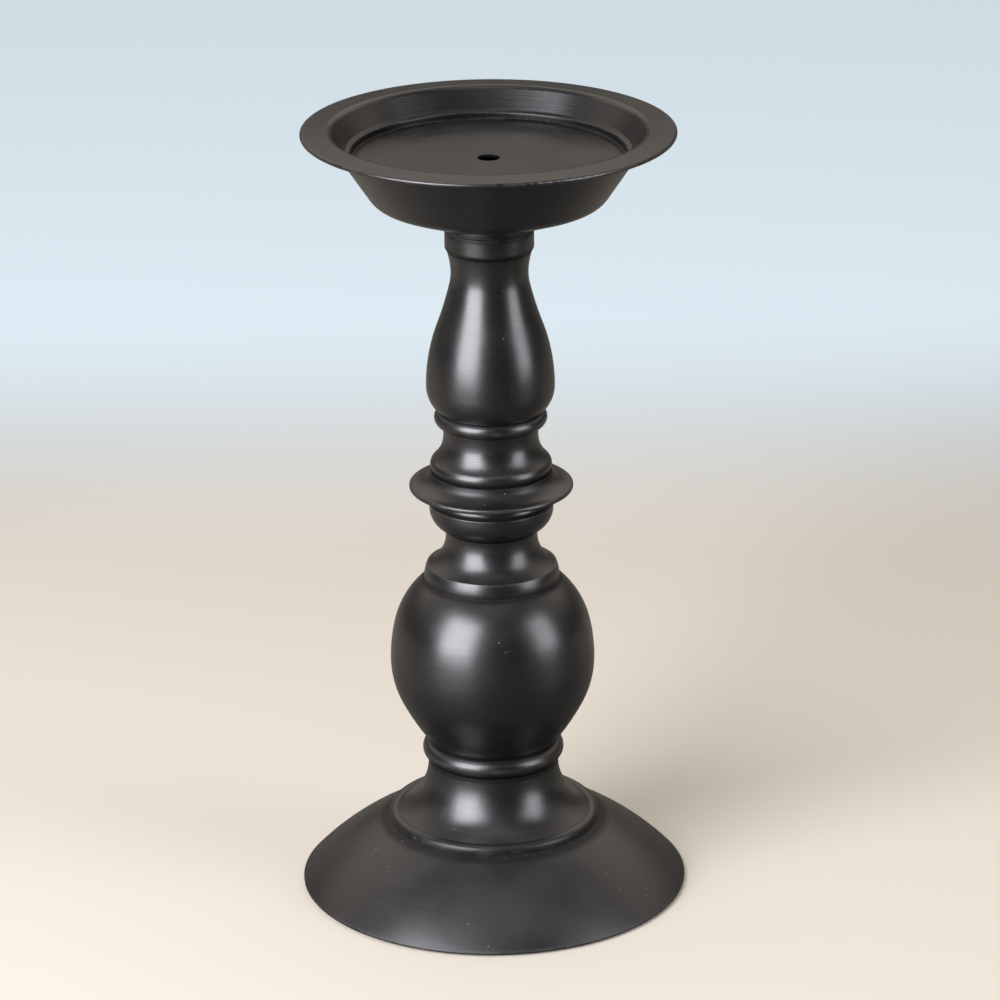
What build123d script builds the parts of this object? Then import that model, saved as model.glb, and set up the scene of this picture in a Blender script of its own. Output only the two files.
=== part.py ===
from build123d import *
import os

# Iron candlestick for a 76 mm pillar candle: spun shells and turned rings
# stacked on one threaded rod. Millimetres, +Z up, the table is z = 0 and the
# stem's axis is x = y = 0.

# Sheet and stock
stem_sheet = 1.0
base_sheet = 1.2
dish_sheet = 0.8
edge_round = 0.6
fine_round = 0.3

# Tie rod, M6, with its nuts and washers
rod_diameter = 6.0
rod_clearance = 0.2
rod_stub = 1.8
rod_chamfer = 0.5
thread_gap = 0.05
nut_flats = 10.0
nut_height = 5.2
nut_corner_slope = 0.577
washer_diameter = 18.0
washer_thickness = 1.6
lock_washer_diameter = 11.0
lock_washer_thickness = 1.6
lock_washer_gap = 1.5

# Base
base_diameter = 113.2
base_height = 25.5
base_edge_height = 0.6
base_dome_radius = 83.0
base_crown_diameter = 28.0
base_lip_width = 8.0
pad_count = 4
pad_diameter = 6.0
pad_thickness = 0.5

# Foot cove, with its heights measured from where it meets the dome
foot_diameter = 61.8
foot_band_height = 0.69
foot_ledge = 2.7
foot_cove_start = 2.39
foot_neck_diameter = 38.2
foot_neck_height = 17.59
foot_height = 18.79
foot_skirt_depth = 6.0

# Lower bead
lower_bead_diameter = 41.4
lower_bead_height = 6.0

# Ball, with levels as shares of its height and widths as shares of its radius
ball_diameter = 59.6
ball_height = 50.2
ball_seat_diameter = 37.4
ball_crown_diameter = 39.8
ball_low_level = 0.25
ball_low_share = 0.896
ball_belly_level = 0.506
ball_high_level = 0.72
ball_high_share = 0.96

# Lower shoulder
lower_band_diameter = 39.4
lower_band_height = 4.6
lower_band_lean = 0.8
lower_band_bulge = 0.25
lower_ledge = 0.5
lower_shoulder_height = 15.4
lower_neck_diameter = 26.6
lower_neck_drop = 2.0

# Cup under the flange
cup_diameter = 36.0
cup_height = 12.5
cup_seat_diameter = 25.2
cup_ridge_height = 8.2
cup_band_height = 1.4
cup_groove_diameter = 33.2
cup_groove_depth = 1.9

# Flange
flange_diameter = 47.4
flange_rim_thickness = 1.5
flange_rim_round = 0.65
flange_height = 5.5
flange_hub_diameter = 35.2
hub_edge = 0.3

# Upper shoulder
upper_band_diameter = 35.2
upper_band_height = 4.0
upper_band_bulge = 0.6
upper_band_middle = 1.7
upper_ledge = 1.1
upper_shoulder_height = 13.8
upper_neck_diameter = 27.4
upper_neck_drop = 3.0
neck_flare = 0.3

# Upper bead
upper_bead_diameter = 32.6
upper_bead_height = 4.8

# Vase, with levels as shares of the rise from belly to neck and widths as shares of the taper
vase_diameter = 37.0
vase_height = 47.8
vase_seat_diameter = 30.8
vase_belly_height = 7.2
vase_neck_diameter = 22.3
vase_neck_drop = 5.4
vase_head_diameter = 24.4
vase_flank_level = 0.517
vase_flank_share = 0.553
vase_throat_level = 0.858
vase_throat_share = 0.054

# Collar and seat ring
collar_diameter = 25.5
collar_height = 6.5
collar_foot_round = 1.2
collar_head_round = 0.6
seat_ring_diameter = 26.6
seat_ring_height = 4.2
seat_ring_foot_round = 0.4
seat_ring_head_round = 0.2

# Dish: outer bowl and candle pan
dish_height = 24.9
candle_diameter = 76.0
candle_clearance = 1.0
candle_step = 2.2
pan_ledge_width = 1.5
pan_ledge_depth = 6.4
pan_hole_clearance = 0.2
rim_width = 8.4
rim_drop = 0.4
rim_curl_diameter = 1.3
rim_turn_round = 2.0
wall_lean = 0.667
nest_gap = 0.1
bowl_seat_width = 18.0
bowl_corner_height = 4.45
bowl_corner_round = 6.0
bowl_mouth_drop = 2.0

# Heights of the joints, foot to rim; the base's edge stands on the felt dots
z_base = pad_thickness
z_dome = z_base + base_edge_height
z_crown = z_base + base_height


# Height of the dome's face at a radius. The dome is an arc from the top of the
# base's edge to its crown, round a centre below and beyond the stem's axis.
def dome_height(radius):
    run = (base_diameter - base_crown_diameter) / 2
    rise = z_crown - z_dome
    chord = (run**2 + rise**2) ** 0.5
    depth = (base_dome_radius**2 - chord**2 / 4) ** 0.5
    centre_radius = (base_diameter + base_crown_diameter) / 4 - depth * rise / chord
    centre_height = (z_crown + z_dome) / 2 - depth * run / chord
    return centre_height + (base_dome_radius**2 - (radius - centre_radius) ** 2) ** 0.5


z_foot = dome_height(foot_diameter / 2)
z_lower_bead = z_foot + foot_height
z_ball = z_lower_bead + lower_bead_height
z_lower_shoulder = z_ball + ball_height
z_cup = z_lower_shoulder + lower_shoulder_height
z_flange = z_cup + cup_height
z_upper_shoulder = z_flange + flange_height
z_upper_bead = z_upper_shoulder + upper_shoulder_height
z_vase = z_upper_bead + upper_bead_height
z_collar = z_vase + vase_height
z_seat_ring = z_collar + collar_height
z_bowl = z_seat_ring + seat_ring_height
z_bowl_corner = z_bowl + bowl_corner_height
z_rim = z_bowl + dish_height
z_bowl_mouth = z_rim - bowl_mouth_drop
z_ledge = z_rim - pan_ledge_depth
z_floor = z_ledge - candle_step

# The dish grows out from the candle: its recess, the ledge, the pan's wall, and
# the bowl's wall outside that
recess_radius = candle_diameter / 2 + candle_clearance
wall_inset = (2 * dish_sheet + nest_gap) * (1 + wall_lean**2) ** 0.5


def pan_wall_radius(height):
    return recess_radius + pan_ledge_width + wall_lean * (height - z_ledge)


def bowl_wall_radius(height):
    return pan_wall_radius(height) + wall_inset


# The rod's fastenings: one set inside the bowl, one under the base's crown
z_bowl_washer = z_bowl + dish_sheet
z_bowl_nut = z_bowl_washer + washer_thickness
z_base_washer = z_crown - base_sheet - washer_thickness
z_lock_washer = z_base_washer - lock_washer_thickness
z_base_nut = z_lock_washer - nut_height


# Ways of making a piece

# Section through one side of a turned piece, closed along the stem's axis.
# The edges run round its outside from foot to head, as (radius, height).
def half_section(foot, head, *edges):
    closing = Polyline(head, (0, head[1]), (0, foot[1]), foot).edges()
    return make_face([*edges, *closing])


def spin(section):
    return revolve(Plane.XZ * section, Axis.Z)


# Hollow shell of even thickness with both its ends closed.
def shell(section, sheet):
    whole = section + mirror(section, Plane.YZ)
    core = offset(whole, -sheet)
    box = section.bounding_box()
    one_side = Pos(box.max.X, box.center().Y) * Rectangle(2 * box.max.X, 2 * box.size.Y)
    return spin(section) - spin(core & one_side)


# Pressed sheet: the points run along one face of it and the sheet lies to the given side.
def pressed(points, radii, sheet, side):
    face_line = FilletPolyline(*points, radius=radii)
    return make_face(offset(face_line, amount=sheet, side=side).edges())


def round_corner(section, corner, radius):
    nearest = section.vertices().sort_by_distance((corner[0], corner[1], 0))[0]
    return fillet(nearest, radius)


def drilled(piece):
    hole = Cylinder(rod_diameter / 2 + rod_clearance, 4 * z_rim)
    return piece - hole


def save(piece, node):
    export_step(piece, "parts/" + node + ".step")
    print(node, "mm3", round(piece.volume))


# Arcs through the points, each leaving the last one without a kink.
def flowing(start, heading, *points):
    arcs = []
    for point in points:
        arc = TangentArc(start, point, tangent=heading)
        arcs.append(arc)
        start = point
        heading = arc % 1
    return arcs


def sweep_up(start, *points):
    return flowing(start, (0, 1), *points)


def sweep_down(start, *points):
    return flowing(start, (0, -1), *points)


# Base: a spun dome, open below, with its edge turned in to a flat lip.
def base_section():
    edge = (base_diameter / 2, z_base)
    edge_top = (base_diameter / 2, z_dome)
    crown = (base_crown_diameter / 2, z_crown)
    dome = RadiusArc(edge_top, crown, -base_dome_radius)
    section = half_section(edge, crown, Line(edge, edge_top), dome)
    return round_corner(section, edge, fine_round)


def make_base():
    mouth = Pos(0, 0, z_base) * Cylinder(base_diameter / 2 - base_lip_width, 3 * base_sheet)
    return drilled(shell(base_section(), base_sheet) - mouth)


# Four felt dots under the lip keep the iron off the table.
def make_base_pads():
    circle = base_diameter / 2 - base_lip_width / 2 - fine_round
    dot = Pos(circle, 0, pad_thickness / 2) * Cylinder(pad_diameter / 2, pad_thickness)
    dots = [Rot(0, 0, 360 / pad_count * (k + 0.5)) * dot for k in range(pad_count)]
    return Compound(children=dots)


# Foot of the stem: a coved bell whose skirt is cut to sit on the dome.
def make_foot_cove():
    foot = (foot_diameter / 2, z_foot - foot_skirt_depth)
    band_top = (foot_diameter / 2, z_foot + foot_band_height)
    cove_start = (foot_diameter / 2 - foot_ledge, z_foot + foot_cove_start)
    neck = (foot_neck_diameter / 2, z_foot + foot_neck_height)
    head = (foot_neck_diameter / 2, z_lower_bead)
    shoulder = sweep_up(band_top, cove_start)
    cove = sweep_down(neck, cove_start)
    section = half_section(foot, head, Line(foot, band_top), *shoulder, *cove, Line(neck, head))
    return drilled(shell(section, stem_sheet) - spin(base_section()))


# Half-round ring, turned solid.
def bead(diameter, height, z_low):
    seat_radius = (diameter - height) / 2
    foot = (seat_radius, z_low)
    head = (seat_radius, z_low + height)
    round_face = ThreePointArc(foot, (diameter / 2, z_low + height / 2), head)
    return drilled(spin(half_section(foot, head, round_face)))


# Ball: a little flat below its middle and full above it.
def make_ball():
    foot = (ball_seat_diameter / 2, z_ball)
    head = (ball_crown_diameter / 2, z_lower_shoulder)
    radius = ball_diameter / 2
    low = (radius * ball_low_share, z_ball + ball_height * ball_low_level)
    belly = (radius, z_ball + ball_height * ball_belly_level)
    high = (radius * ball_high_share, z_ball + ball_height * ball_high_level)
    section = half_section(foot, head, *sweep_down(belly, low, foot), *sweep_up(belly, high, head))
    return drilled(shell(section, stem_sheet))


# Bell shoulder with a leaning, slightly full band at its foot.
def make_lower_shoulder():
    radius = lower_band_diameter / 2
    band_head = z_lower_shoulder + lower_band_height
    foot = (radius, z_lower_shoulder)
    band_middle = (radius - lower_band_lean / 2 + lower_band_bulge, (z_lower_shoulder + band_head) / 2)
    band_top = (radius - lower_band_lean, band_head)
    cove_start = (radius - lower_band_lean - lower_ledge, band_head)
    neck = (lower_neck_diameter / 2, z_cup - lower_neck_drop)
    head = (lower_neck_diameter / 2 + neck_flare, z_cup)
    band = [ThreePointArc(foot, band_middle, band_top), Line(band_top, cove_start)]
    cove = sweep_down(neck, cove_start) + sweep_up(neck, head)
    section = half_section(foot, head, *band, *cove)
    return drilled(shell(section, stem_sheet))


# Small bowl under the flange, with a ridge at its lip and a groove above that.
def make_flange_cup():
    foot = (cup_seat_diameter / 2, z_cup)
    ridge = z_cup + cup_ridge_height
    bowl_top = (cup_diameter / 2, ridge - cup_band_height)
    lip = (cup_diameter / 2, ridge)
    groove = (cup_groove_diameter / 2, ridge + cup_groove_depth)
    head = (cup_groove_diameter / 2, z_flange)
    bowl = [*sweep_down(bowl_top, foot), Line(bowl_top, lip)]
    hollow = [*sweep_down(groove, lip), Line(groove, head)]
    section = round_corner(half_section(foot, head, *bowl, *hollow), lip, fine_round)
    return drilled(shell(section, stem_sheet))


# Drip flange: a thin round rim that sweeps up to a hub.
def make_flange():
    foot = (flange_diameter / 2, z_flange)
    rim_top = (flange_diameter / 2, z_flange + flange_rim_thickness)
    cove_start = (flange_diameter / 2 - flange_rim_thickness / 2, rim_top[1])
    hub_low = (flange_hub_diameter / 2, z_upper_shoulder - hub_edge)
    head = (flange_hub_diameter / 2, z_upper_shoulder)
    rim = Polyline(foot, rim_top, cove_start).edges()
    cove = TangentArc(cove_start, hub_low, tangent=(-1, 0))
    section = half_section(foot, head, *rim, cove, Line(hub_low, head))
    section = round_corner(section, foot, flange_rim_round)
    section = round_corner(section, rim_top, flange_rim_round)
    return drilled(spin(section))


# Bell shoulder with a rounded band at its foot.
def make_upper_shoulder():
    radius = upper_band_diameter / 2
    foot = (radius - upper_band_bulge, z_upper_shoulder)
    band_middle = (radius, z_upper_shoulder + upper_band_middle)
    cove_start = (radius - upper_ledge, z_upper_shoulder + upper_band_height)
    neck = (upper_neck_diameter / 2, z_upper_bead - upper_neck_drop)
    head = (upper_neck_diameter / 2 + neck_flare, z_upper_bead)
    band = ThreePointArc(foot, band_middle, cove_start)
    cove = sweep_down(neck, cove_start) + sweep_up(neck, head)
    section = half_section(foot, head, band, *cove)
    return drilled(shell(section, stem_sheet))


# Pear-shaped vase, full below and drawn in to a neck.
def make_vase():
    foot = (vase_seat_diameter / 2, z_vase)
    belly = (vase_diameter / 2, z_vase + vase_belly_height)
    neck = (vase_neck_diameter / 2, z_collar - vase_neck_drop)
    head = (vase_head_diameter / 2, z_collar)
    rise = neck[1] - belly[1]
    taper = belly[0] - neck[0]
    flank = (neck[0] + taper * vase_flank_share, belly[1] + rise * vase_flank_level)
    throat = (neck[0] + taper * vase_throat_share, belly[1] + rise * vase_throat_level)
    upper = sweep_up(belly, flank, throat, neck, head)
    section = half_section(foot, head, *sweep_down(belly, foot), *upper)
    return drilled(shell(section, stem_sheet))


# Plain turned ring with both its outer edges rounded.
def plain_ring(diameter, height, z_low, low_round, high_round):
    foot = (diameter / 2, z_low)
    head = (diameter / 2, z_low + height)
    section = half_section(foot, head, Line(foot, head))
    section = round_corner(section, foot, low_round)
    return drilled(spin(round_corner(section, head, high_round)))


def make_neck_collar():
    return plain_ring(collar_diameter, collar_height, z_collar, collar_foot_round, collar_head_round)


def make_seat_ring():
    rounds = (seat_ring_foot_round, seat_ring_head_round)
    return plain_ring(seat_ring_diameter, seat_ring_height, z_seat_ring, *rounds)


# Outer bowl of the dish, spun from one disc.
def make_dish_bowl():
    hole = rod_diameter / 2 + rod_clearance
    points = [
        (hole, z_bowl),
        (hole + bowl_seat_width, z_bowl),
        (bowl_wall_radius(z_bowl_corner), z_bowl_corner),
        (bowl_wall_radius(z_bowl_mouth), z_bowl_mouth),
    ]
    return spin(pressed(points, (bowl_corner_round, bowl_corner_round), dish_sheet, Side.LEFT))


# Candle pan: its wall lies inside the bowl's wall, and the floor is sunk
# below a ledge so the candle's foot is held.
def make_candle_pan():
    curl = rim_curl_diameter / 2
    rim_end = pan_wall_radius(z_rim) + rim_width - curl
    points = [
        (rod_diameter / 2 + pan_hole_clearance, z_floor),
        (recess_radius, z_floor),
        (recess_radius, z_ledge),
        (pan_wall_radius(z_ledge), z_ledge),
        (pan_wall_radius(z_rim), z_rim),
        (rim_end, z_rim - rim_drop),
    ]
    radii = (edge_round, edge_round, edge_round, rim_turn_round)
    sheet = pressed(points, radii, dish_sheet, Side.RIGHT)
    rolled_edge = Pos(rim_end, z_rim - rim_drop - curl) * Circle(curl)
    return spin(sheet + rolled_edge)


# Tie rod and its fastenings
def disc(diameter, thickness, z_low):
    return drilled(Pos(0, 0, z_low + thickness / 2) * Cylinder(diameter / 2, thickness))


# Hexagon nut: its corners are turned down at both faces to the width across its flats.
def nut(z_low):
    hexagon = RegularPolygon(nut_flats / 2, 6, major_radius=False)
    body = extrude(Pos(0, 0, z_low) * hexagon, nut_height)
    corner_rise = (nut_flats / 3**0.5 - nut_flats / 2) * nut_corner_slope
    turned = Pos(0, 0, z_low + nut_height / 2) * Cylinder(nut_flats / 2 + corner_rise / nut_corner_slope, nut_height)
    faces = turned.edges().filter_by(GeomType.CIRCLE)
    body = body & chamfer(faces, corner_rise, corner_rise / nut_corner_slope)
    thread = Cylinder(rod_diameter / 2 + thread_gap, 4 * z_rim)
    return body - thread


def make_lock_washer():
    ring = disc(lock_washer_diameter, lock_washer_thickness, z_lock_washer)
    split = Pos(lock_washer_diameter / 2, 0, z_lock_washer) * Box(
        lock_washer_diameter, lock_washer_gap, 4 * lock_washer_thickness
    )
    return ring - split


def make_tie_rod():
    low = z_base_nut - rod_stub
    high = z_bowl_nut + nut_height + rod_stub
    rod = Pos(0, 0, (low + high) / 2) * Cylinder(rod_diameter / 2, high - low)
    ends = rod.edges().filter_by(GeomType.CIRCLE)
    return chamfer(ends, rod_chamfer)


os.makedirs("parts", exist_ok=True)
save(make_candle_pan(), "candle_pan")
save(make_dish_bowl(), "dish_bowl")
save(make_seat_ring(), "seat_ring")
save(make_neck_collar(), "neck_collar")
save(make_vase(), "vase")
save(bead(upper_bead_diameter, upper_bead_height, z_upper_bead), "upper_bead")
save(make_upper_shoulder(), "upper_shoulder")
save(make_flange(), "flange")
save(make_flange_cup(), "flange_cup")
save(make_lower_shoulder(), "lower_shoulder")
save(make_ball(), "ball")
save(bead(lower_bead_diameter, lower_bead_height, z_lower_bead), "lower_bead")
save(make_foot_cove(), "foot_cove")
save(make_base(), "base")
save(make_base_pads(), "base_pads")
save(make_tie_rod(), "tie_rod")
save(disc(washer_diameter, washer_thickness, z_bowl_washer), "bowl_washer")
save(nut(z_bowl_nut), "bowl_nut")
save(disc(washer_diameter, washer_thickness, z_base_washer), "base_washer")
save(make_lock_washer(), "lock_washer")
save(nut(z_base_nut), "base_nut")
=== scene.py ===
# %% [markdown]
# Iron candlestick, satin black, for one pillar candle.
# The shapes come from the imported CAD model, which is loaded first and never
# changed. This lesson gives every piece its finish, then sets up the floor, the
# studio light and the camera. Everything is in metres, with +Z up the stem.

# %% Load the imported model
import math
from collections import namedtuple

import bpy
from mathutils import Matrix, Vector


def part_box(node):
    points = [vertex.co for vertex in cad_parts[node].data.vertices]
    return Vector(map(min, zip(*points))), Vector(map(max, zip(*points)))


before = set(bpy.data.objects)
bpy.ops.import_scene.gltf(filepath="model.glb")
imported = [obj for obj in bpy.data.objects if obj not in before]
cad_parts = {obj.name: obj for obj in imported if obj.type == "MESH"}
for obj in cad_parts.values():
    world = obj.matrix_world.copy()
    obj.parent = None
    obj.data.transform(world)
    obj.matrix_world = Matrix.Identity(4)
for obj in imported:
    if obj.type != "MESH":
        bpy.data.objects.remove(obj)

bpy.context.view_layer.update()

# %% [markdown]
# A finish here is a small tree of shader nodes. Written out link by link it
# would be hard to read, so a few helpers keep each step on one line: one makes a
# node and plugs in what it is given, the others do sums, blends and ramps. An
# image texture would be simpler, but it has seams and a fixed size, while a
# procedural finish has fine grain at any distance.

# %% Helpers for shader nodes


class Tree:
    """The node tree of a material or of the world, with short ways of adding to it."""

    def __init__(self, owner, shader="Principled BSDF"):
        owner.use_nodes = True
        self.nodes = owner.node_tree.nodes
        self.links = owner.node_tree.links
        self.shader = self.nodes[shader]

    def plug(self, socket, value):
        """Feeds an input from another node's output, or sets it to a constant."""
        if isinstance(value, bpy.types.NodeSocket):
            self.links.new(value, socket)
        else:
            socket.default_value = value

    def add(self, kind, inputs=None, **settings):
        """A new node with its settings made and its inputs fed."""
        node = self.nodes.new("ShaderNode" + kind)
        for name, value in settings.items():
            setattr(node, name, value)
        for name, value in (inputs or {}).items():
            self.plug(node.inputs[name], value)
        return node

    def sum(self, operation, first, second=0.0, clamp=False):
        """The result of one Math node."""
        node = self.add("Math", {0: first, 1: second}, operation=operation, use_clamp=clamp)
        return node.outputs[0]

    def times(self, first, second):
        return self.sum("MULTIPLY", first, second)

    def plus(self, first, second):
        return self.sum("ADD", first, second)

    def total(self, values):
        """All the values added up."""
        result = 0.0
        for value in values:
            result = self.plus(result, value)
        return result

    def hypotenuse(self, first, second):
        squares = self.plus(self.times(first, first), self.times(second, second))
        return self.sum("SQRT", squares)

    def split(self, vector):
        """The x, y and z of a vector."""
        return self.add("SeparateXYZ", {0: vector}).outputs

    def ramp(self, value, low, high, out_low=0.0, out_high=1.0):
        """Smooth step of a value from low to high."""
        node = self.add("MapRange", {0: value, 1: low, 2: high, 3: out_low, 4: out_high},
                        interpolation_type="SMOOTHSTEP")
        return node.outputs[0]

    def blend(self, share, first, second):
        """The first colour, giving way to the second as share goes from 0 to 1."""
        node = self.add("Mix", {0: share, 6: first, 7: second}, data_type="RGBA")
        return node.outputs[2]

    def noise(self, vector, scale, detail=2.0, roughness=0.5, dimensions="3D"):
        inputs = {"Vector": vector, "Scale": scale, "Detail": detail, "Roughness": roughness}
        return self.add("TexNoise", inputs, noise_dimensions=dimensions).outputs[0]

    def bump(self, height):
        """A normal tilted by the slope of a height in metres."""
        return self.add("Bump", {"Strength": 1.0, "Distance": 1.0, "Height": height}).outputs[0]


def grey(value, warmth=0.0):
    return (value * (1 + warmth), value, value * (1 - warmth), 1.0)


print("helpers ready")

# %% [markdown]
# Every painted piece was turned or spun, so its finest marks run round the stem.
# Noise laid over x, y and z would give blotches. The trick is to feed the noise
# only a point's distance from the stem and its height: all points on one circle
# then get one value, and the marks close into rings on walls, domes and flat
# floors alike. A slow wobble keeps the rings from looking machine ruled.

# %% Coordinates that follow the lathe
WOBBLE = 0.00025
WOBBLE_SCALE = 14.0
NOISE_MIDDLE = 0.5
RING_CORE = 0.15

Lathe = namedtuple("Lathe", "point radius z turned")
Ring = namedtuple("Ring", "radius height width")


def lathe_coordinates(tree):
    """The point, its radius, its height, and a flat (radius, height) vector."""
    point = tree.add("TexCoord").outputs["Object"]
    x, y, z = tree.split(point)
    radius = tree.hypotenuse(x, y)
    centred = tree.plus(tree.noise(point, WOBBLE_SCALE, 1.0), -NOISE_MIDDLE)
    drift = tree.times(centred, WOBBLE)
    turned = tree.add("CombineXYZ", {0: tree.plus(radius, drift), 1: tree.plus(z, drift)})
    return Lathe(point, radius, z, turned.outputs[0])


def near_ring(tree, at, ring, reach=1.0):
    """1 on a ring round the stem, fading to 0 at reach times its width from it."""
    distance = tree.hypotenuse(tree.plus(at.radius, -ring.radius), tree.plus(at.z, -ring.height))
    width = reach * ring.width
    return tree.ramp(distance, width, RING_CORE * width)


print("ring coordinates ready")

# %% [markdown]
# The finish is satin black paint, sprayed thin over spun iron. Seen close it
# shows five things: rings left by the tools under the paint, the slight orange
# peel of sprayed paint, patches that are more or less matt, paint rubbed thin
# along the sharp edges, and dust. The worn edges come first. A painted mask
# would have to be made anew for each piece, while a circle is known from its
# radius and height alone, and a noise breaks its line as real knocks do.

# %% Worn edges
RUBBED = grey(0.045, 0.08)
WEAR_SCALE = 190.0
WEAR_GAPS = (0.36, 0.62)


def worn_edges(tree, at, edges):
    """How far the paint is rubbed thin: a broken line along each edge."""
    lines = tree.total(near_ring(tree, at, ring) for ring in edges)
    broken = tree.ramp(tree.noise(at.point, WEAR_SCALE, 5.0, 0.7), *WEAR_GAPS)
    return tree.sum("MULTIPLY", lines, broken, clamp=True)


print("worn edges ready")

# %% [markdown]
# Dust settles on what faces up and in the joints between pieces. Hands and cloths
# never reach those corners, so the paint stays dull there. Its shine is also cut
# down there as painted shade, so the joints read as black lines. Single grains
# stand out on black paint. Each is a dot at the middle of a Voronoi cell, and the
# cell's own random colour chooses the few cells that get one.

# %% Dust
DUST = (0.24, 0.22, 0.195, 1.0)
FILM_PATCHES = (0.30, 0.80)
FILM_THIN = 0.012
FILM_THICK = 0.030
FILM_TILT = (0.15, 0.95)
CLUMP_SCALE = 420.0
CLUMP_GAPS = (0.44, 0.80)
CLUMP_THICK = 0.05
CORNER_REACH = 2.2
DOT_SCALE = 520.0
DOT_CHOICE = (0.955, 0.972)
DOT_SIZE = (0.16, 0.07)


def dust_film(tree, at, up, patches, joints, dust):
    """How much dust lies in a film on what faces up, and in clumps in the joints."""
    thickness = tree.ramp(patches, *FILM_PATCHES, FILM_THIN * dust, FILM_THICK * dust)
    film = tree.times(tree.ramp(up, *FILM_TILT), thickness)
    clumpy = tree.noise(at.point, CLUMP_SCALE, 3.0, 0.6)
    clumps = tree.ramp(clumpy, *CLUMP_GAPS, 0.0, CLUMP_THICK * dust)
    return tree.total([film] + [tree.times(near_ring(tree, at, ring), clumps) for ring in joints])


def dull_and_shaded_corners(tree, at, joints):
    """1 in the corners at the joints, which nobody ever rubs; it dulls them and darkens them as
    painted shade.
    """
    corners = tree.total(near_ring(tree, at, ring, CORNER_REACH) for ring in joints)
    return tree.sum("MULTIPLY", corners, 1.0, clamp=True)


def dust_dots(tree, at):
    """1 on single grains of dust."""
    cells = tree.add("TexVoronoi", {"Vector": at.point, "Scale": DOT_SCALE})
    lot = tree.add("SeparateColor", {0: cells.outputs["Color"]}).outputs[0]
    chosen = tree.ramp(lot, *DOT_CHOICE)
    return tree.times(tree.ramp(cells.outputs["Distance"], *DOT_SIZE), chosen)


print("dust ready")

# %% [markdown]
# The pieces come as facets, and where two arcs of an outline meet, the facets'
# shading takes a small step that a long shine would show. The geometry stays as
# it is, so a bump evens the shading out. It is one or two hundredths of a
# millimetre high, and its slope fades to nothing on both sides of the seam.

# %% Seams in the shading


def mended_seam(tree, z, level, below, above):
    """Bump height that evens the shading where two arcs of an outline meet.

    below and above are how far the step in the shading reaches, and its degrees.
    """
    heights = []
    for side, (reach, degrees) in ((1, below), (-1, above)):
        slope = tree.times(tree.plus(z, -level), side / reach)
        nearness = tree.sum("ADD", slope, 1.0, clamp=True)
        depth = math.tan(math.radians(degrees)) * reach / 2
        heights.append(tree.times(tree.times(nearness, nearness), -depth))
    return tree.total(heights)


print("seams ready")

# %% [markdown]
# One function brings all of it together as paint. The patches, worn edges and
# dust change its colour and how matt it is, the joints are darkened with painted
# shade, and the rings, peel, grit and grains tilt its surface. Each piece gets its
# own copy, with its own worn edges, dusty and shaded joints and share of rings,
# dust and mattness.

# %% Satin black paint
PAINT = grey(0.0062, 0.03)
PAINT_PATCH = grey(0.0090, 0.06)
PATCH_SCALE = 55.0
PATCH_COLOUR = (0.42, 0.72)
PATCH_MATT = (0.30, 0.74)
SATIN = 0.285
SATIN_PATCH = 0.335
RUBBED_SHARE = 0.5
SPECK_TILT = (-0.1, 0.5)
SPECK_FAINT = 0.08
SPECK_CLEAR = 0.50
RING_SPREAD = (0.3, 0.7)
RING_MATT = 0.025
FILM_MATT = 0.9
SPECK_MATT = 0.35
CORNER_MATT = 0.12
WORN_MATT = 0.07
# How much shine is left in the joints' corners, which are darkened as painted shade.
SHADED_CORNER_SHINE = 0.30
BROAD_RING_SCALE = 230.0
BROAD_RING_HEIGHT = 8e-6
FINE_RING_SCALE = 1900.0
FINE_RING_HEIGHT = 2.2e-6
PEEL_SCALE = 1500.0
PEEL_HEIGHT = 2.6e-6
GRIT_SCALE = 5200.0
GRIT_HEIGHT = 0.7e-6
DOT_HEIGHT = 1.5e-5


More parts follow.
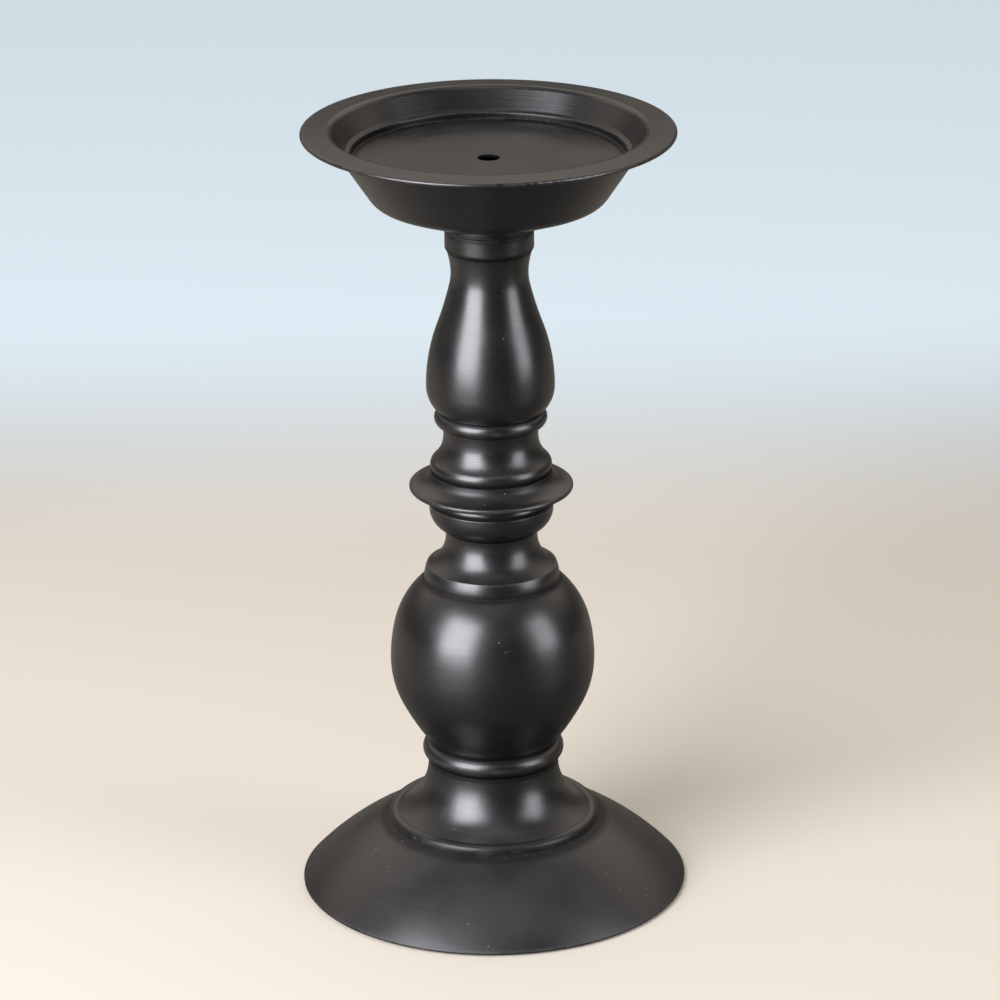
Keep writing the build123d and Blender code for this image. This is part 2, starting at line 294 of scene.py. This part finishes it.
def satin_black(name, edges=(), joints=(), seams=(), rings=1.0, dust=1.0, matt=0.0):
    """The paint of one piece, from its worn edges, its dusty joints darkened with painted shade,
    and its looks.
    """
    material = bpy.data.materials.new(name)
    tree = Tree(material)
    at = lathe_coordinates(tree)
    up = tree.split(tree.add("NewGeometry").outputs["Normal"])[2]

    patches = tree.noise(at.point, PATCH_SCALE, 4.0, 0.55)
    fine_rings = tree.noise(at.turned, FINE_RING_SCALE, 3.0, 0.6, "2D")
    broad_rings = tree.noise(at.turned, BROAD_RING_SCALE, 2.0, 0.5, "2D")
    peel = tree.noise(at.point, PEEL_SCALE, 2.0, 0.5)
    grit = tree.noise(at.point, GRIT_SCALE, 2.0, 0.6)
    worn = worn_edges(tree, at, edges)
    film = dust_film(tree, at, up, patches, joints, dust)
    dull_and_shaded = dull_and_shaded_corners(tree, at, joints)
    dots = dust_dots(tree, at)
    specks = tree.times(dots, tree.ramp(up, *SPECK_TILT, SPECK_FAINT, SPECK_CLEAR * dust))

    colour = tree.blend(tree.ramp(patches, *PATCH_COLOUR), PAINT, PAINT_PATCH)
    colour = tree.blend(tree.times(worn, RUBBED_SHARE), colour, RUBBED)
    colour = tree.blend(film, colour, DUST)
    colour = tree.blend(specks, colour, DUST)
    tree.plug(tree.shader.inputs["Base Color"], colour)

    tree.plug(tree.shader.inputs["Roughness"], tree.total([
        tree.ramp(patches, *PATCH_MATT, SATIN + matt, SATIN_PATCH + matt),
        tree.ramp(fine_rings, *RING_SPREAD, -RING_MATT * rings, RING_MATT * rings),
        tree.times(film, FILM_MATT),
        tree.times(specks, SPECK_MATT),
        tree.times(dull_and_shaded, CORNER_MATT),
        tree.times(worn, WORN_MATT),
    ]))

    heights = [
        tree.times(broad_rings, BROAD_RING_HEIGHT * rings),
        tree.times(fine_rings, FINE_RING_HEIGHT * rings),
        tree.times(peel, PEEL_HEIGHT),
        tree.times(grit, GRIT_HEIGHT),
        tree.times(dots, DOT_HEIGHT),
    ]
    heights += [mended_seam(tree, at.z, *seam) for seam in seams]
    tree.plug(tree.shader.inputs["Normal"], tree.bump(tree.total(heights)))

    # Painted shade: the shine is cut down in the corners at the joints, which darkens them.
    shine = tree.ramp(dull_and_shaded, 0.0, 1.0, 1.0, SHADED_CORNER_SHINE)
    tree.plug(tree.shader.inputs["Specular IOR Level"], shine)
    tree.shader.inputs["IOR"].default_value = 1.5
    return material


print("paint ready")

# %% [markdown]
# The circles for wear and dust are read from the pieces' own boxes where they
# can be, so they stay right if a size changes. A turned piece is told by three
# figures: its widest radius, and the heights of its foot and its head.

# %% Helpers for the pieces
Outline = namedtuple("Outline", "radius foot head")


def outline(node):
    """A turned piece's widest radius, and the heights of its foot and head."""
    low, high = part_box(node)
    return Outline(high.x, low.z, high.z)


def dress(node, material):
    """Gives a CAD piece its finish, and prints its height."""
    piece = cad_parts[node]
    for slot in piece.material_slots:
        slot.material = material
    low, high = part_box(node)
    print(node, "finish", material.name, "height", round(high.z - low.z, 4))


print("outlines ready")

# %% [markdown]
# The dish is two spun sheets: an outer bowl, and a pan whose floor is sunk below
# a narrow ledge so that a candle can't slide off. Hands and candles rub the
# rolled rim and the ledge, so those two circles get the worn paint. The floor is
# the largest face that looks straight up, and it carries the most dust.

# %% Dish
RIM_ROLL_INSET = 0.0004
RIM_ROLL_DROP = 0.0007
LEDGE_DROP = 0.0064
LEDGE_ROUND = 0.0003
RECESS_RADIUS = 0.039
RECESS_DEPTH = 0.0022

pan = outline("candle_pan")
ledge = pan.head - LEDGE_DROP
dress("candle_pan", satin_black(
    "satin_black_pan",
    edges=[Ring(pan.radius - RIM_ROLL_INSET, pan.head - RIM_ROLL_DROP, width=0.0011),
           Ring(RECESS_RADIUS + LEDGE_ROUND, ledge, width=0.0008)],
    joints=[Ring(RECESS_RADIUS, ledge - RECESS_DEPTH, width=0.0016)],
    dust=1.25,
    matt=-0.04,
))

bowl = outline("dish_bowl")
dress("dish_bowl", satin_black(
    "satin_black_bowl",
    joints=[Ring(bowl.radius, bowl.head, width=0.0012)],
    rings=1.2,
))

# %% [markdown]
# The stem is a stack of turned rings and spun shells on one rod. Where two
# pieces meet there is a fine joint that holds dust and is darkened with painted
# shade, and each corner that stands proud has its paint rubbed thin. So every
# piece has a joint at its foot and one at its head, and only its worn corners differ.

# %% Ring, collar and vase
JOINT_WIDTH = 0.0011
RING_CORNER = 0.0003
COLLAR_CORNER = 0.0004
VASE_JOINT_RADIUS = 0.0135
VASE_SEAMS = ((0.18451, (0.00203, -0.9), (0.00082, -1.45)),
              (0.18950, (0.00083, -1.5), (0.00110, -1.4)))


def dress_stem(node, edges=(), joint_radius=None, **looks):
    """Paints a stem piece, with a joint at its foot and one at its head."""
    piece = outline(node)
    radius = joint_radius or piece.radius
    dress(node, satin_black(
        "satin_black_" + node,
        edges=edges,
        joints=[Ring(radius, piece.foot, JOINT_WIDTH), Ring(radius, piece.head, JOINT_WIDTH)],
        **looks,
    ))


seat = outline("seat_ring")
dress_stem("seat_ring", [Ring(seat.radius, seat.foot + RING_CORNER, width=0.0007)])

collar = outline("neck_collar")
dress_stem("neck_collar", [Ring(collar.radius, collar.head - COLLAR_CORNER, width=0.0008)])

dress_stem("vase", joint_radius=VASE_JOINT_RADIUS, rings=0.7, seams=VASE_SEAMS)

# %% [markdown]
# Between vase and ball the stem steps out to a thin flange and in again. The
# beads are half round, so they are worn halfway up and their joints lie further
# in. The shoulders are worn where the bell turns into its foot band, and the
# flange along its rim and round the top of its hub.

# %% Beads, shoulders and flange
BEAD_JOINT_INSET = 0.0024
UPPER_BAND_INSET = 0.0006
UPPER_BAND_RISE = 0.0035
FLANGE_RIM_RISE = 0.0008
HUB_RADIUS = 0.0176
CUP_RIDGE_RISE = 0.0082
LOWER_BAND_INSET = 0.0008
LOWER_BAND_RISE = 0.0045


def dress_bead(node, joint_inset, width):
    """Paints a half-round bead, worn where it is widest."""
    bead = outline(node)
    middle = (bead.foot + bead.head) / 2
    dress_stem(node, [Ring(bead.radius, middle, width)], joint_radius=bead.radius - joint_inset)


dress_bead("upper_bead", BEAD_JOINT_INSET, width=0.0010)

shoulder = outline("upper_shoulder")
dress_stem("upper_shoulder", [
    Ring(shoulder.radius - UPPER_BAND_INSET, shoulder.foot + UPPER_BAND_RISE, width=0.0008),
])

flange = outline("flange")
dress_stem("flange", [
    Ring(flange.radius, flange.foot + FLANGE_RIM_RISE, width=0.0012),
    Ring(HUB_RADIUS, flange.head, width=0.0006),
], joint_radius=HUB_RADIUS)

cup = outline("flange_cup")
dress_stem("flange_cup", [Ring(cup.radius, cup.foot + CUP_RIDGE_RISE, width=0.0008)])

shoulder = outline("lower_shoulder")
dress_stem("lower_shoulder", [
    Ring(shoulder.radius - LOWER_BAND_INSET, shoulder.foot + LOWER_BAND_RISE, width=0.0007),
    Ring(shoulder.radius, shoulder.foot, width=0.0006),
])

# %% [markdown]
# The ball is the largest form of the stem and carries the longest shines, so its
# rings are fainter, like the vase's, and its one seam is evened out. The bead
# below it is larger than the upper one.

# %% Ball and lower bead
BALL_JOINT_RADIUS = 0.0195
BALL_SEAMS = ((0.08105, (0.00177, 1.0), (0.00068, 1.2)),)
LOWER_BEAD_JOINT_INSET = 0.0030

dress_stem("ball", joint_radius=BALL_JOINT_RADIUS, rings=0.7, seams=BALL_SEAMS)
dress_bead("lower_bead", LOWER_BEAD_JOINT_INSET, width=0.0011)

# %% [markdown]
# The base is one large spun dome. It spreads the load, lies lowest and gathers
# the most dust of the stem, and its edge takes the knocks, so its paint is a
# little more matt, its turned edge is worn, and dust gathers where the foot of
# the stem sits on it.

# %% Foot and base
FOOT_BAND_TOP = 0.0208
FOOT_SEAT_HEIGHT = 0.0200
FOOT_SEAT_RADIUS = 0.0312
COVE_HEAD_RADIUS = 0.0191
BASE_EDGE_RISE = 0.0006

cove = outline("foot_cove")
dress("foot_cove", satin_black(
    "satin_black_foot",
    edges=[Ring(cove.radius, FOOT_BAND_TOP, width=0.0010)],
    joints=[Ring(cove.radius, FOOT_SEAT_HEIGHT, width=0.0016),
            Ring(COVE_HEAD_RADIUS, cove.head, width=JOINT_WIDTH)],
))

base = outline("base")
dress("base", satin_black(
    "satin_black_base",
    edges=[Ring(base.radius, base.foot + BASE_EDGE_RISE, width=0.0010)],
    joints=[Ring(FOOT_SEAT_RADIUS, FOOT_SEAT_HEIGHT, width=0.0022)],
    dust=1.2,
    matt=0.03,
    rings=0.8,
))

# %% [markdown]
# Under the base a nut, a spring washer and a plain washer pull the stack tight.
# They are zinc plated steel: a metal, so its colour is in its reflection, with a
# faint spangle. The rod has a rolled thread. Its groove is one helix, and its
# height at a point depends on the height less the turn of the angle, which a
# sine wave draws with no geometry at all.

# %% Zinc plated fastenings
ZINC = (0.60, 0.59, 0.56, 1.0)
ZINC_DULL = (0.42, 0.42, 0.41, 1.0)
SPANGLE_SCALE = 900.0
SPANGLE_COLOUR = (0.40, 0.68)
SPANGLE_SPREAD = (0.3, 0.7)
ZINC_BRIGHT_ROUGHNESS = 0.28
ZINC_DULL_ROUGHNESS = 0.46
SCRATCH_SCALE = 3000.0
SCRATCH_HEIGHT = 2.0e-6
THREAD_PITCH = 0.001
THREAD_HEIGHT = 1.6e-4


def zinc_plate(name, thread=False):
    """Zinc plate, with a rolled thread for the rod."""
    material = bpy.data.materials.new(name)
    tree = Tree(material)
    at = lathe_coordinates(tree)
    spangle = tree.noise(at.point, SPANGLE_SCALE, 4.0, 0.6)
    scratches = tree.noise(at.turned, SCRATCH_SCALE, 2.0, 0.6, "2D")
    colour = tree.blend(tree.ramp(spangle, *SPANGLE_COLOUR), ZINC, ZINC_DULL)
    tree.plug(tree.shader.inputs["Base Color"], colour)
    roughness = tree.ramp(spangle, *SPANGLE_SPREAD, ZINC_BRIGHT_ROUGHNESS, ZINC_DULL_ROUGHNESS)
    tree.plug(tree.shader.inputs["Roughness"], roughness)
    height = tree.times(scratches, SCRATCH_HEIGHT)
    if thread:
        x, y, _ = tree.split(at.point)
        angle = tree.sum("ARCTAN2", y, x)
        turns = tree.plus(tree.times(at.z, 2 * math.pi / THREAD_PITCH), tree.times(angle, -1.0))
        height = tree.plus(height, tree.times(tree.sum("SINE", turns), THREAD_HEIGHT))
    tree.plug(tree.shader.inputs["Normal"], tree.bump(height))
    tree.shader.inputs["Metallic"].default_value = 1.0
    return material


zinc = zinc_plate("zinc_plate")
for node in ("bowl_washer", "bowl_nut", "base_washer", "lock_washer", "base_nut"):
    dress(node, zinc)
dress("tie_rod", zinc_plate("zinc_thread", thread=True))

# %% [markdown]
# Four felt dots keep the iron from scratching what it stands on. Felt is a mat of
# fibres with no weave, so two noises at different stretches give its tangle, and
# a little sheen lights the loose fibres at its edge.

# %% Felt dots
FELT = grey(0.012)
FELT_LINT = grey(0.045)
FIBRE_SCALE = 6000.0
LONG_FIBRE_SCALE = 8000.0
LONG_FIBRE_STRETCH = (1.0, 0.25, 1.0)
FIBRE_COLOUR = (0.35, 0.65)
FIBRE_SPREAD = (0.3, 0.7)
FELT_ROUGHNESS = (0.85, 1.0)
FIBRE_HEIGHT = 8.0e-5


def felt(name):
    """Black felt."""
    material = bpy.data.materials.new(name)
    tree = Tree(material)
    point = tree.add("TexCoord").outputs["Object"]
    mapping = tree.add("Mapping", {"Vector": point, "Scale": LONG_FIBRE_STRETCH})
    across = tree.noise(point, FIBRE_SCALE, 4.0, 0.7)
    along = tree.noise(mapping.outputs[0], LONG_FIBRE_SCALE, 3.0, 0.7)
    fibres = tree.times(tree.plus(across, along), 0.5)
    colour = tree.blend(tree.ramp(fibres, *FIBRE_COLOUR), FELT, FELT_LINT)
    tree.plug(tree.shader.inputs["Base Color"], colour)
    roughness = tree.ramp(fibres, *FIBRE_SPREAD, *FELT_ROUGHNESS)
    tree.plug(tree.shader.inputs["Roughness"], roughness)
    tree.plug(tree.shader.inputs["Normal"], tree.bump(tree.times(fibres, FIBRE_HEIGHT)))
    tree.shader.inputs["Sheen Weight"].default_value = 0.3
    tree.shader.inputs["Sheen Roughness"].default_value = 0.5
    return material


dress("base_pads", felt("black_felt"))

# %% [markdown]
# The floor is a plain sheet in pale cream that turns to pale blue grey further
# back. It isn't part of the candlestick. Its colour also shows in the paint, as a
# warm shine on what faces down. On the camera's side a room is dim, and black paint
# needs that dimness to look black, so the paint meets a darker floor in front than
# the camera sees: Light Path tells the two kinds of ray apart. The camera also sees
# a faint glow, which lifts the background without putting more light on the
# candlestick. Out towards the lamps the cream is deeper, so that it doesn't bleach
# where they stand near it.

# %% Floor
FLOOR_SIZE = 6.0
BLACK = (0.0, 0.0, 0.0, 1.0)
CREAM = (0.76, 0.70, 0.60, 1.0)
CREAM_FAR = (0.36, 0.330, 0.285, 1.0)
PALE_BLUE = (0.57, 0.67, 0.72, 1.0)
DIM_FLOOR = (0.080, 0.075, 0.066, 1.0)
LIT_FLOOR = (0.19, 0.175, 0.145, 1.0)
WARM_FLOOR = (0.40, 0.370, 0.300, 1.0)
NEAR_GLOW = (0.10, 0.092, 0.072, 1.0)
FAR_GLOW = (0.34, 0.395, 0.425, 1.0)
DEEPER_FROM_TO = (0.28, 0.62)
BLUE_FROM_TO = (0.24, 0.54)
LIT_FROM_TO = (-0.02, -0.22)
WARM_FROM_TO = (-0.05, 0.24)

bpy.ops.mesh.primitive_plane_add(size=FLOOR_SIZE, location=(0.0, 0.0, 0.0))
floor = bpy.context.object
floor.name = "floor"
floor_material = bpy.data.materials.new("floor_cream")
floor_tree = Tree(floor_material)
floor_point = floor_tree.add("TexCoord").outputs["Object"]
floor_x, floor_y, _ = floor_tree.split(floor_point)
away = floor_tree.add("VectorMath", {0: floor_point}, operation="LENGTH").outputs["Value"]
further_back = floor_tree.ramp(floor_y, *BLUE_FROM_TO)
seen = floor_tree.blend(floor_tree.ramp(away, *DEEPER_FROM_TO), CREAM, CREAM_FAR)
seen = floor_tree.blend(further_back, seen, PALE_BLUE)
# Painted light for reflections only: the floor the paint mirrors is dim in front, has a painted
# pool of lamp light on the left, and is warm and light behind.
mirrored_painted_light = floor_tree.blend(floor_tree.ramp(floor_x, *LIT_FROM_TO), DIM_FLOOR, LIT_FLOOR)
mirrored_painted_light = floor_tree.blend(floor_tree.ramp(floor_y, *WARM_FROM_TO), mirrored_painted_light, WARM_FLOOR)
glow = floor_tree.blend(further_back, NEAR_GLOW, FAR_GLOW)
camera_ray = floor_tree.add("LightPath").outputs["Is Camera Ray"]
floor_tree.plug(floor_tree.shader.inputs["Base Color"],
                floor_tree.blend(camera_ray, mirrored_painted_light, seen))
floor_tree.plug(floor_tree.shader.inputs["Emission Color"],
                floor_tree.blend(camera_ray, BLACK, glow))
floor_tree.shader.inputs["Emission Strength"].default_value = 1.0
floor_tree.shader.inputs["Roughness"].default_value = 0.6
floor.data.materials.append(floor_material)
print("floor", FLOOR_SIZE, "m square")

# %% [markdown]
# Satin paint is dark, so what the eye reads is mostly the shine of the lamps.
# A tall, strong soft box stands to the left and a narrower, weaker one to the
# right, with a dark gap between them. Both reach down almost to the floor and
# are aimed at the middle of the stem. A lamp's place follows from its highlight
# on the ball: the paint mirrors it there, halfway between lamp and eye.

# %% Lamps
STEM_MIDDLE = Vector((0.0, 0.0, 0.115))


def soft_box(name, azimuth, elevation, distance, width, height, radiance, colour):
    """A lamp seen from the stem: azimuth turns from the camera's side to the right."""
    turn = math.radians(azimuth)
    rise = math.radians(elevation)
    way = Vector((
        math.sin(turn) * math.cos(rise),
        -math.cos(turn) * math.cos(rise),
        math.sin(rise),
    ))
    data = bpy.data.lights.new(name, "AREA")
    data.shape = "RECTANGLE"
    data.size = width
    data.size_y = height
    data.energy = radiance * math.pi * width * height
    data.color = colour
    lamp = bpy.data.objects.new(name, data)
    lamp.location = STEM_MIDDLE + way * distance
    lamp.rotation_euler = way.to_track_quat("Z", "Y").to_euler()
    bpy.context.scene.collection.objects.link(lamp)
    print(name, "at", [round(c, 2) for c in lamp.location], "watts", round(data.energy, 1))


soft_box("left_soft_box", azimuth=-43, elevation=22, distance=1.1,
         width=0.80, height=1.02, radiance=9.2, colour=(0.94, 0.93, 1.0))
soft_box("right_soft_box", azimuth=66, elevation=19, distance=1.2,
         width=0.54, height=0.90, radiance=4.2, colour=(0.95, 0.94, 1.0))

# %% [markdown]
# The world is the room around the lamps. It is dim on the camera's side, and
# brighter and warmer behind, where the flat faces of the dish mirror it at a low
# angle. That wall is less bright again high up, and the ceiling right overhead,
# which the dome of the base mirrors, is pale and cool. A direction's own y and z
# give these gradients.

# %% World
DIM_ROOM = (0.020, 0.020, 0.020, 1.0)
WARM_ROOM = (0.12, 0.107, 0.095, 1.0)
WARM_WALL = (0.86, 0.775, 0.70, 1.0)
HIGH_WALL = (0.40, 0.40, 0.41, 1.0)
CEILING = (0.66, 0.70, 0.79, 1.0)
PALE_ROOM = (0.70, 0.78, 0.82, 1.0)
WALL_FROM_TO = (0.20, 0.52)
HIGH_FROM_TO = (0.68, 0.92)
BEHIND_FROM_TO = (-0.35, 0.75)
CEILING_FROM_TO = (0.91, 0.99)
CEILING_MIDDLE_Y = -0.15
CEILING_MIDDLE_Z = 0.99

world = bpy.data.worlds.new("studio")
bpy.context.scene.world = world
world_tree = Tree(world, "Background")
_, back, up = world_tree.split(world_tree.add("TexCoord").outputs["Generated"])
behind = world_tree.blend(world_tree.ramp(up, *WALL_FROM_TO), WARM_ROOM, WARM_WALL)
behind = world_tree.blend(world_tree.ramp(up, *HIGH_FROM_TO), behind, HIGH_WALL)
room = world_tree.blend(world_tree.ramp(back, *BEHIND_FROM_TO), DIM_ROOM, behind)
overhead = world_tree.plus(world_tree.times(back, CEILING_MIDDLE_Y),
                           world_tree.times(up, CEILING_MIDDLE_Z))
room = world_tree.blend(world_tree.ramp(overhead, *CEILING_FROM_TO), room, CEILING)
camera_ray = world_tree.add("LightPath").outputs["Is Camera Ray"]
world_tree.plug(world_tree.shader.inputs["Color"],
                world_tree.blend(camera_ray, room, PALE_ROOM))
world_tree.shader.inputs["Strength"].default_value = 1.0
print("world", world.name)

# %% [markdown]
# The camera looks down at the stem from the front, through a long lens. Its
# place, tilt and lens were worked out from the ellipses of the dish and the base.
# The three axes of its view are built first, then written as its matrix.

# %% Camera
CAMERA_PLACE = Vector((0.0, -1.3130, 0.6109))
YAW = 0.0019
PITCH = math.radians(20.544)
ROLL = math.radians(-0.424)
LENS = 174.52
SENSOR = 36.0

forward = Vector((
    math.sin(YAW) * math.cos(PITCH),
    math.cos(YAW) * math.cos(PITCH),
    -math.sin(PITCH),
))
level = Vector((math.cos(YAW), -math.sin(YAW), 0.0))
upright = level.cross(forward)
right = math.cos(ROLL) * level + math.sin(ROLL) * upright
over = -math.sin(ROLL) * level + math.cos(ROLL) * upright

camera_data = bpy.data.cameras.new("camera")
camera_data.lens = LENS
camera_data.sensor_width = SENSOR
camera_data.sensor_fit = "HORIZONTAL"
camera_data.clip_start = 0.01
camera = bpy.data.objects.new("camera", camera_data)
turn = Matrix((right, over, -forward)).transposed()
camera.matrix_world = Matrix.Translation(CAMERA_PLACE) @ turn.to_4x4()
bpy.context.scene.collection.objects.link(camera)
bpy.context.scene.camera = camera
bpy.context.scene.view_settings.view_transform = "Standard"
print("camera", [round(c, 3) for c in camera.location], "lens", LENS)

# %% [markdown]
# Last, the view layer is brought up to date.

# %% Finish
bpy.context.view_layer.update()
